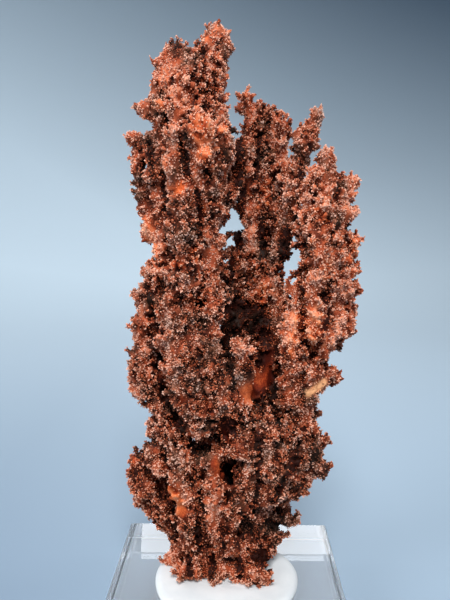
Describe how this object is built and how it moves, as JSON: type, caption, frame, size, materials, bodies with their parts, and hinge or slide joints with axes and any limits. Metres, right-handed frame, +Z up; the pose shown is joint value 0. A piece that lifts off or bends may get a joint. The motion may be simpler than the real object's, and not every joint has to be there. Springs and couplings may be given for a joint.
{
  "type": "limonite specimen on a display block",
  "caption": "Branching rust-brown limonite growth, three spires over a bushy rootstock, upright on a round white pad and a clear square block for display in a cabinet.",
  "frame": {"origin": "centre of the clear block's underside", "axes": "+Z up the growth, +X to the right of someone who faces its front, +Y away from them; the block's sides lie along X and Y"},
  "size_m": [0.034, 0.0318, 0.0807],
  "materials": {
    "clear_acrylic": "clear cast acrylic with polished faces and edges",
    "white_putty": "soft white mounting putty, pressed to a flat round",
    "rust_limonite": "rust brown crust of fine crystals, near black in the hollows",
    "orange_limonite": "salmon orange crust of fine crystals, brown in the hollows",
    "pink_brown_limonite": "pinkish brown crust of fine crystals"
  },
  "bodies": {
    "root": {"acrylic_block": "clear_acrylic", "white_pad": "white_putty", "rootstock": "rust_limonite", "right_fan": "rust_limonite", "left_lobe": "pink_brown_limonite", "left_flank": "rust_limonite", "centre_sprig": "rust_limonite", "left_spire": "orange_limonite", "middle_spire": "rust_limonite", "right_spire": "orange_limonite"}
  },
  "joints": []
}
